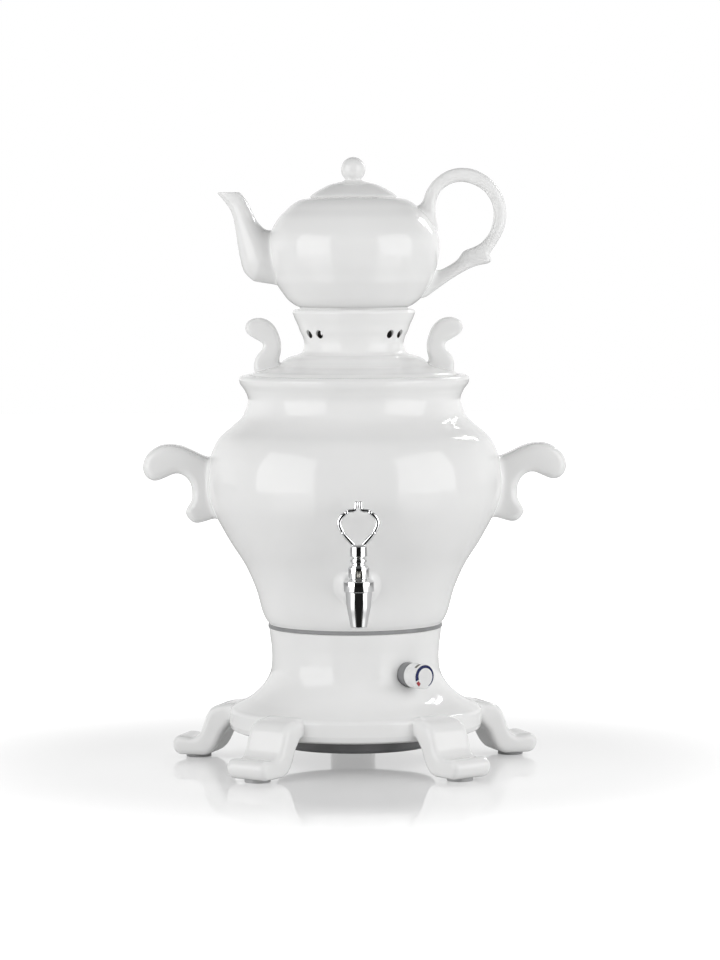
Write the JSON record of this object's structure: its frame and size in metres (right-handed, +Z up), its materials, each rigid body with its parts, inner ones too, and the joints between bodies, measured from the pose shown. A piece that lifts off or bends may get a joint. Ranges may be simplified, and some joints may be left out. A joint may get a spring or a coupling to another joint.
{
  "type": "samovar",
  "caption": "Electric porcelain samovar: waisted vessel on curled feet, chrome plug tap with an open loop key, side handles, vented lid and a lidded teapot on its crown.",
  "frame": {"origin": "on the vessel's axis, on the table that the foot pads stand on", "axes": "+Z up along the vessel's axis; -Y towards the tap, the front; +X to the right of someone who faces the tap"},
  "size_m": [0.333, 0.2891, 0.477],
  "materials": {
    "porcelain": "white glaze, glossy",
    "seam_rubber": "grey, satin",
    "pad_rubber": "grey, matt",
    "seal_rubber": "dark grey, matt",
    "dark_plastic": "moulded, fine grain",
    "knob_plastic": "white, semi-gloss",
    "collar_plastic": "grey, satin",
    "chrome": "polished plating",
    "steel": "plain turned or pressed",
    "brass": "turned",
    "insulator": "unglazed"
  },
  "bodies": {
    "samovar": {"body_shell": "porcelain", "side_handle_left": "porcelain", "side_handle_right": "porcelain", "seam_gasket": "seam_rubber", "base_shell": "porcelain", "foot_front_left": "porcelain", "foot_front_right": "porcelain", "foot_side_left": "porcelain", "foot_side_right": "porcelain", "foot_rear": "porcelain", "foot_pad_front_left": "pad_rubber", "foot_pad_front_right": "pad_rubber", "foot_pad_side_left": "pad_rubber", "foot_pad_side_right": "pad_rubber", "foot_pad_rear": "pad_rubber", "bottom_cover": "dark_plastic", "tie_rods": "steel", "tie_rod_nuts": "steel", "tie_rod_washers": "steel", "heater_plate": "steel", "heater_seal": "seal_rubber", "heating_element": "steel", "element_insulators": "insulator", "thermal_cutout": "dark_plastic", "clamp_ring": "steel", "clamp_nuts": "steel", "thermostat_housing": "dark_plastic", "thermostat_collar": "collar_plastic", "thermostat_nut": "steel", "sensor_bulb": "brass", "power_inlet": "dark_plastic", "inlet_pins": "brass", "tap_body": "chrome", "tap_bonnet": "chrome", "tap_o_ring": "seal_rubber", "tap_seal_outer": "seal_rubber", "tap_seal_inner": "seal_rubber", "tap_nut": "steel"},
    "lid": {"samovar_lid": "porcelain", "lid_handle_left": "porcelain", "lid_handle_right": "porcelain"},
    "teapot": {"teapot_body": "porcelain", "teapot_spout": "porcelain", "teapot_handle": "porcelain"},
    "teapot_cover": {"teapot_lid": "porcelain"},
    "tap_turner": {"tap_plug": "brass", "tap_key": "chrome", "tap_stop_pin": "steel"},
    "heat_control": {"control_knob": "knob_plastic", "thermostat_spindle": "brass"}
  },
  "joints": [
    {"name": "lid_lift", "type": "slide", "parent": "samovar", "child": "lid", "axis": [0, 0, 1], "range_m": [0, 0.12]},
    {"name": "teapot_lift", "type": "slide", "parent": "lid", "child": "teapot", "axis": [0, 0, 1], "range_m": [0, 0.15]},
    {"name": "teapot_lid_lift", "type": "slide", "parent": "teapot", "child": "teapot_cover", "axis": [0, 0, 1], "range_m": [0, 0.08]},
    {"name": "tap_turn", "type": "hinge", "parent": "samovar", "child": "tap_turner", "pos_m": [0, -0.1295, 0.1485], "axis": [0, 0, 1], "range_deg": [0, 90]},
    {"name": "knob_turn", "type": "hinge", "parent": "samovar", "child": "heat_control", "pos_m": [0.04702, -0.06472, 0.0755], "axis": [0.5878, -0.809, 0], "range_deg": [-270, 0]}
  ]
}
